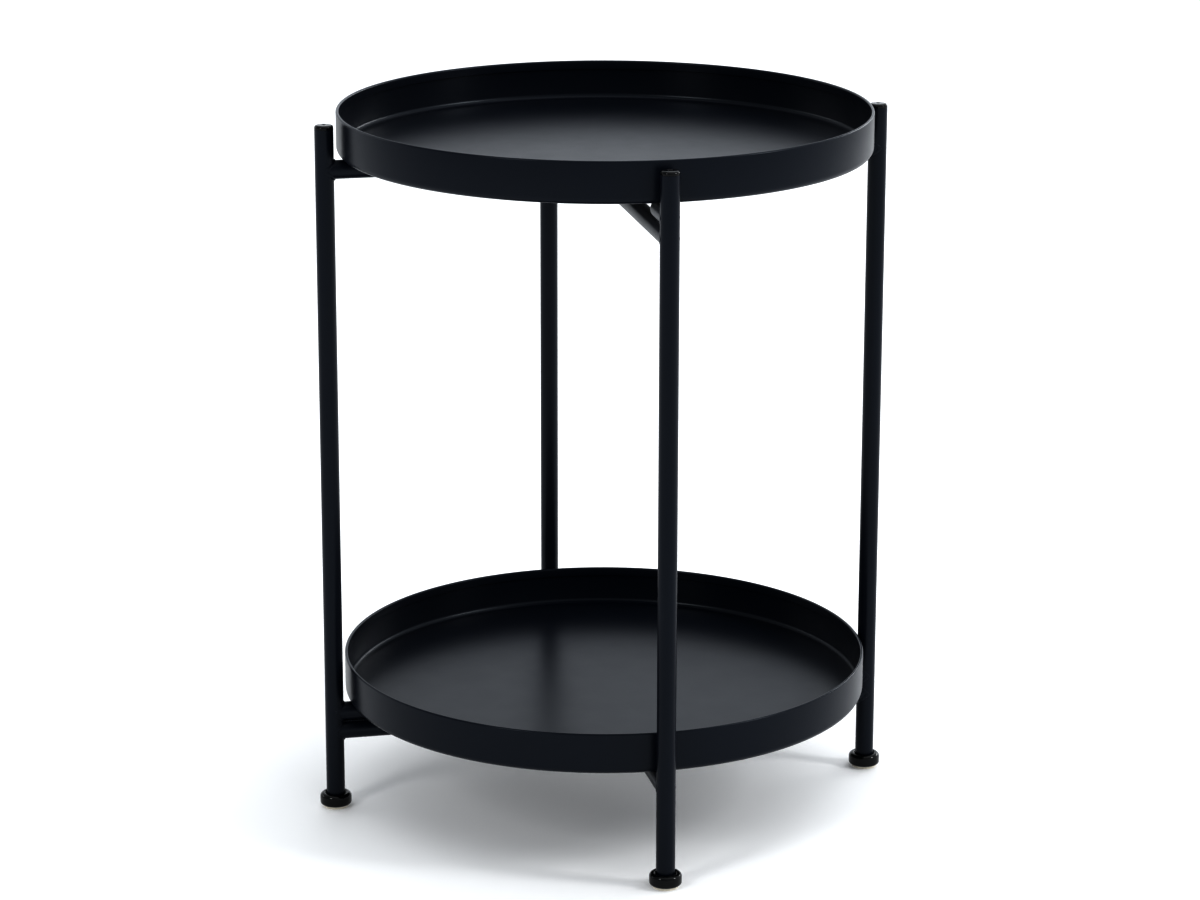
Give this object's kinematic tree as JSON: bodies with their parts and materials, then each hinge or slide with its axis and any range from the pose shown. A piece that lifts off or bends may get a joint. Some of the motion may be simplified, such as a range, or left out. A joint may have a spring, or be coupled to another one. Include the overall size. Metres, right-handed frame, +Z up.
{
  "type": "folding side table",
  "caption": "Folding side table: lift-off round trays with upright rims, stacked on nested tube frames that cross at a central pivot and swing flat together.",
  "frame": {"origin": "on the floor, at the bottom centre, straight below the two pivots", "axes": "+Z up; the outer frame's legs stand on X; the inner frame's legs stand on Y, with the front leg towards -Y"},
  "size_m": [0.446, 0.446, 0.5369],
  "materials": {
    "frame_coat": "satin black powder coat on steel tube",
    "tray_coat": "satin black powder coat on pressed steel sheet",
    "cap_plastic": "glossy black moulded plastic",
    "glide_pad": "off-white matte glide pad",
    "fastener_steel": "zinc plated",
    "spacer_nylon": "natural nylon"
  },
  "bodies": {
    "outer_frame": {"outer_upper_bar": "frame_coat", "outer_lower_bar": "frame_coat", "left_leg": "frame_coat", "left_leg_plug": "cap_plastic", "left_foot_cap": "cap_plastic", "left_foot_pad": "glide_pad", "left_lower_tray_rest": "frame_coat", "right_leg": "frame_coat", "right_leg_plug": "cap_plastic", "right_foot_cap": "cap_plastic", "right_foot_pad": "glide_pad", "right_lower_tray_rest": "frame_coat", "upper_pivot_bolt": "fastener_steel", "upper_pivot_spacer": "spacer_nylon", "upper_nut_washer": "fastener_steel", "upper_lock_nut": "fastener_steel", "lower_pivot_bolt": "fastener_steel", "lower_pivot_spacer": "spacer_nylon", "lower_nut_washer": "fastener_steel", "lower_lock_nut": "fastener_steel"},
    "inner_frame": {"inner_upper_bar": "frame_coat", "inner_lower_bar": "frame_coat", "front_leg": "frame_coat", "front_leg_plug": "cap_plastic", "front_foot_cap": "cap_plastic", "front_foot_pad": "glide_pad", "front_upper_tray_rest": "frame_coat", "back_leg": "frame_coat", "back_leg_plug": "cap_plastic", "back_foot_cap": "cap_plastic", "back_foot_pad": "glide_pad", "back_upper_tray_rest": "frame_coat"},
    "upper_tray": {"upper_tray": "tray_coat"},
    "lower_tray": {"lower_tray": "tray_coat"}
  },
  "joints": [
    {"name": "frame_fold", "type": "hinge", "parent": "outer_frame", "child": "inner_frame", "pos_m": [0, 0, 0.25], "axis": [0, 0, 1], "range_deg": [-83, 83]},
    {"name": "upper_tray_lift", "type": "slide", "parent": "outer_frame", "child": "upper_tray", "axis": [0, 0, 1], "range_m": [0, 0.25]},
    {"name": "lower_tray_lift", "type": "slide", "parent": "outer_frame", "child": "lower_tray", "axis": [0, 0, 1], "range_m": [0, 0.3]}
  ]
}
